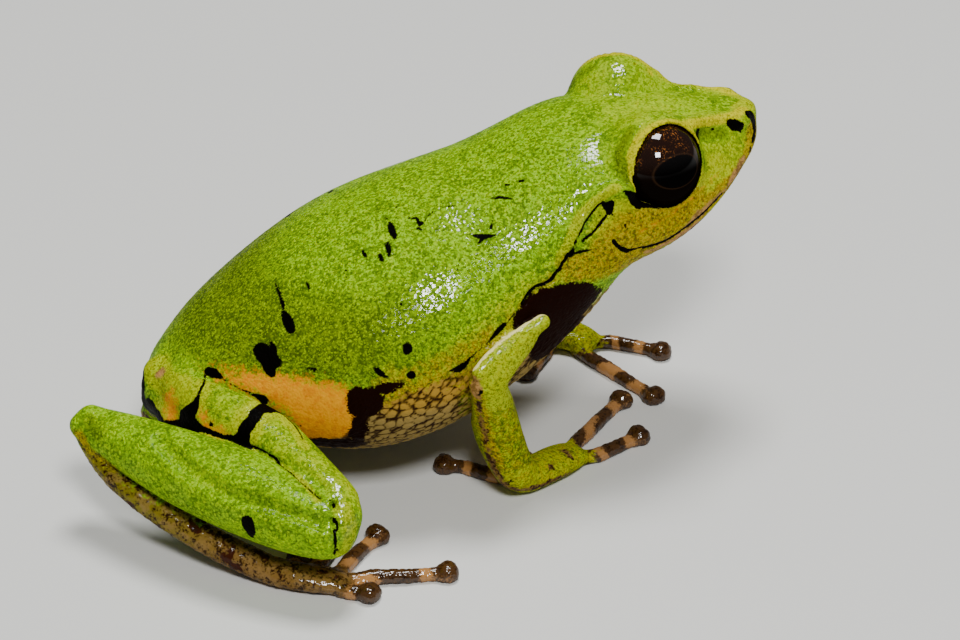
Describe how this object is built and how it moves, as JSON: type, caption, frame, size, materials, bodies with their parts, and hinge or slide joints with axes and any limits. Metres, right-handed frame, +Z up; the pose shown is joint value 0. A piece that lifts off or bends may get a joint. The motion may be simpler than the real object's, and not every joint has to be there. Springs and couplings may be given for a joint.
{
  "type": "tree frog model",
  "caption": "Small tree frog sitting with its forequarters raised and its hands and feet flat on the floor: a still, life-size model with a green back, barred thighs and dark eyes.",
  "frame": {"origin": "on the floor, under the middle of the frog's bounding box", "axes": "+X the way the frog faces, +Y its left, +Z up"},
  "size_m": [0.0388, 0.0296, 0.02],
  "materials": {
    "skin": "moist, finely granular skin with a soft sheen",
    "eye": "wet, glass-smooth eyeball"
  },
  "bodies": {
    "root": {"eye_l": "eye", "eye_r": "eye", "finger_1_l": "skin", "finger_1_r": "skin", "finger_2_l": "skin", "finger_2_r": "skin", "finger_3_l": "skin", "finger_3_r": "skin", "finger_4_l": "skin", "finger_4_r": "skin", "foot_l": "skin", "foot_r": "skin", "forearm_l": "skin", "forearm_r": "skin", "hand_l": "skin", "hand_r": "skin", "head": "skin", "shank_l": "skin", "shank_r": "skin", "tarsus_l": "skin", "tarsus_r": "skin", "thigh_l": "skin", "thigh_r": "skin", "toe_1_l": "skin", "toe_1_r": "skin", "toe_2_l": "skin", "toe_2_r": "skin", "toe_3_l": "skin", "toe_3_r": "skin", "toe_4_l": "skin", "toe_4_r": "skin", "toe_5_l": "skin", "toe_5_r": "skin", "trunk": "skin", "upper_arm_l": "skin", "upper_arm_r": "skin"}
  },
  "joints": []
}
